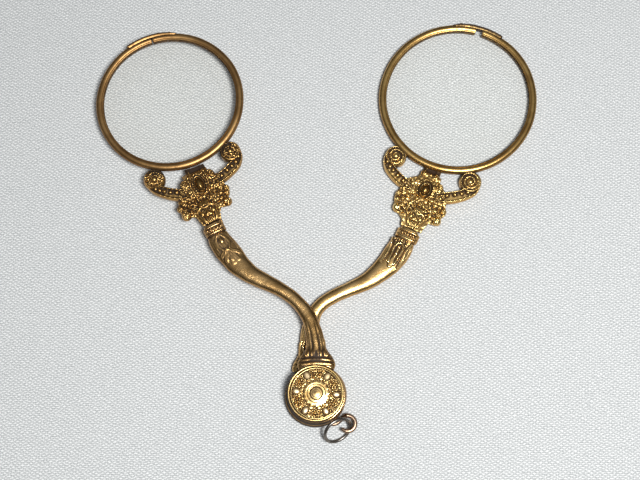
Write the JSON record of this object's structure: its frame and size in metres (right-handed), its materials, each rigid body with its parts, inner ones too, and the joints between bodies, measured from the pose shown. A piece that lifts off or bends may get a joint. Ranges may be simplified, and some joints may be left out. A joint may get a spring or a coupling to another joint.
{
  "type": "folding hand-held eyeglasses",
  "caption": "Scissors-pattern folding eyeglasses: round lenses in split rims on ornamented curved arms that cross and turn at a rosette hub, with a hooked bail and ring.",
  "frame": {"origin": "on the pivot axis, at the flat back face of the rear cap, which is the lowest face as the open glasses lie flat", "axes": "+Z along the pivot axis out of the hub's rosette; +Y from the pivot towards the lenses along the line midway between the two open leaves; +X to the right seen from the rosette side"},
  "size_m": [0.1028, 0.0986, 0.0072],
  "materials": {
    "gilt_front": "aged gilding over cast brass, dark patina in the recesses",
    "gilt_rear": "brighter aged gilding over cast brass, dark patina in the recesses",
    "rim_front": "drawn brass wire, gilding worn to a coppery brown",
    "rim_rear": "drawn brass wire, worn gilding",
    "gilt_hub": "gilt brass with a polished raised pattern on a matt ground",
    "dark_steel": "browned steel",
    "lens_glass": "clear polished glass with fine scratches"
  },
  "bodies": {
    "rear_leaf": {"right_arm": "gilt_rear", "right_collar": "gilt_rear", "right_mask": "gilt_rear", "right_scroll_bracket": "gilt_rear", "right_cabochon": "gilt_rear", "right_rim": "rim_rear", "right_lap_plate": "rim_rear", "right_lap_pin": "rim_rear", "right_lens": "lens_glass", "pivot_rivet": "dark_steel", "rear_cap": "gilt_hub", "friction_washer": "dark_steel"},
    "front_leaf": {"left_arm": "gilt_front", "left_collar": "gilt_front", "left_mask": "gilt_front", "left_scroll_bracket": "gilt_front", "left_cabochon": "gilt_front", "left_rim": "rim_front", "left_lap_plate": "rim_front", "left_lap_pin": "rim_front", "left_lens": "lens_glass", "roundel_bezel": "gilt_hub", "front_roundel": "gilt_hub"},
    "bail": {"ribbon_bail": "gilt_hub"},
    "ring": {"jump_ring": "dark_steel"}
  },
  "joints": [
    {"name": "leaf_hinge", "type": "hinge", "parent": "rear_leaf", "child": "front_leaf", "pos_m": [0, 0, 0.0045], "axis": [0, 0, 1], "range_deg": [-51.9, 10]},
    {"name": "bail_swivel", "type": "hinge", "parent": "rear_leaf", "child": "bail", "pos_m": [0, 0, 0.0013], "axis": [0, 0, 1], "range_deg": [-45, 25]},
    {"name": "ring_swing", "type": "hinge", "parent": "bail", "child": "ring", "pos_m": [0.00719, -0.0062, 0.0025], "axis": [0.829, 0.5592, 0], "range_deg": [-2, 40]}
  ]
}
